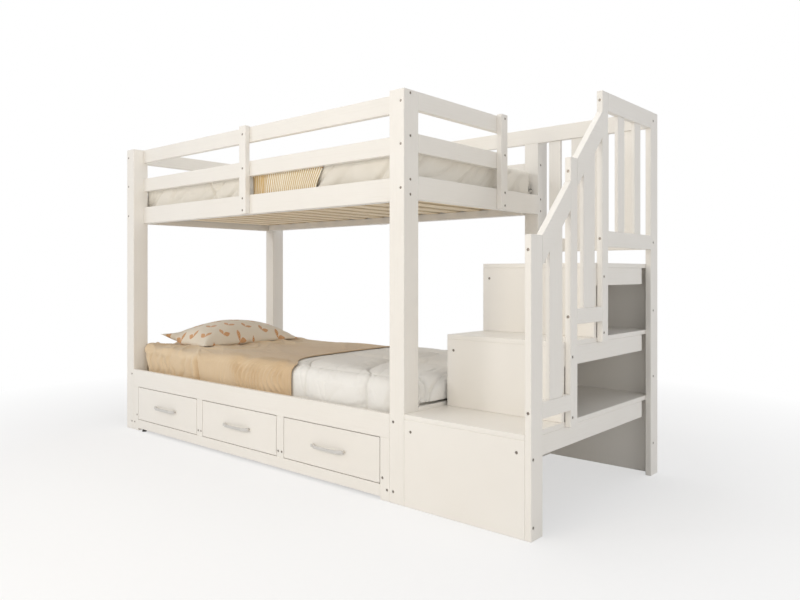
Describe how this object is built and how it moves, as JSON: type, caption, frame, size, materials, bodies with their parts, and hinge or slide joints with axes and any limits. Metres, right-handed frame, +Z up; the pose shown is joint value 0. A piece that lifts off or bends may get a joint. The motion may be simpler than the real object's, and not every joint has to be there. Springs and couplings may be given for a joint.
{
  "type": "bunk bed with storage stairs",
  "caption": "Low wooden bunk bed with a storage staircase at one end, open shelves under the treads, drawers under the lower bunk, slatted bases and bedding.",
  "frame": {"origin": "middle of the whole footprint's bounding box, stairs and drawer pulls included, at floor level", "axes": "+X along the bed from the head end to the stairs, -Y out of the front where the drawers open, +Z up"},
  "size_m": [2.585, 1.086, 1.555],
  "materials": {
    "painted_wood": "satin",
    "pine": "matte",
    "drawer_board": "matte",
    "brushed_nickel": "satin",
    "bolt_steel": "satin",
    "mattress_ticking": "matte",
    "blanket_wool": "matte",
    "quilt_cotton": "matte",
    "pillow_linen": "matte",
    "throw_weave": "matte"
  },
  "bodies": {
    "frame": {"post_front_left": "painted_wood", "post_front_right": "painted_wood", "post_back_left": "painted_wood", "post_back_right": "painted_wood", "upper_front_rail_low": "painted_wood", "upper_front_rail_mid": "painted_wood", "upper_front_rail_top": "painted_wood", "upper_back_rail_low": "painted_wood", "upper_back_rail_mid": "painted_wood", "back_top_rail": "painted_wood", "upper_left_rail_low": "painted_wood", "upper_left_rail_mid": "painted_wood", "upper_left_rail_top": "painted_wood", "upper_right_rail_low": "painted_wood", "upper_right_rail_mid": "painted_wood", "upper_right_rail_top": "painted_wood", "guard_uprights": "painted_wood", "lower_front_board": "painted_wood", "lower_back_rail": "painted_wood", "lower_left_rail": "painted_wood", "lower_right_rail": "painted_wood", "drawer_stiles": "painted_wood", "drawer_toe_rail": "painted_wood", "back_toe_rail": "painted_wood", "stair_riser_1": "painted_wood", "stair_riser_2": "painted_wood", "stair_riser_3": "painted_wood", "stair_tread_1": "painted_wood", "stair_tread_2": "painted_wood", "stair_tread_3": "painted_wood", "stair_side_boards": "painted_wood", "stair_bed_side_panels": "painted_wood", "stair_back_panel": "painted_wood", "stair_front_post": "painted_wood", "handrail_mid_post": "painted_wood", "handrail_top_post": "painted_wood", "stair_back_post": "painted_wood", "handrail_slopes": "painted_wood", "stair_guard_rails": "painted_wood", "stair_guard_slats": "painted_wood", "slat_ledgers": "painted_wood", "upper_slats": "pine", "lower_slats": "pine", "drawer_runners": "pine", "bolts": "bolt_steel", "lower_mattress": "mattress_ticking", "upper_mattress": "mattress_ticking", "blanket": "blanket_wool", "quilt": "quilt_cotton", "pillow": "pillow_linen", "upper_throw": "throw_weave"},
    "drawer_1": {"drawer_1_front": "painted_wood", "drawer_1_box": "drawer_board", "drawer_1_pull": "brushed_nickel"},
    "drawer_2": {"drawer_2_front": "painted_wood", "drawer_2_box": "drawer_board", "drawer_2_pull": "brushed_nickel"},
    "drawer_3": {"drawer_3_front": "painted_wood", "drawer_3_box": "drawer_board", "drawer_3_pull": "brushed_nickel"}
  },
  "joints": [
    {"name": "drawer_1_slide", "type": "slide", "parent": "frame", "child": "drawer_1", "axis": [0, -1, 0], "range_m": [0, 0.42]},
    {"name": "drawer_2_slide", "type": "slide", "parent": "frame", "child": "drawer_2", "axis": [0, -1, 0], "range_m": [0, 0.42]},
    {"name": "drawer_3_slide", "type": "slide", "parent": "frame", "child": "drawer_3", "axis": [0, -1, 0], "range_m": [0, 0.42]}
  ]
}
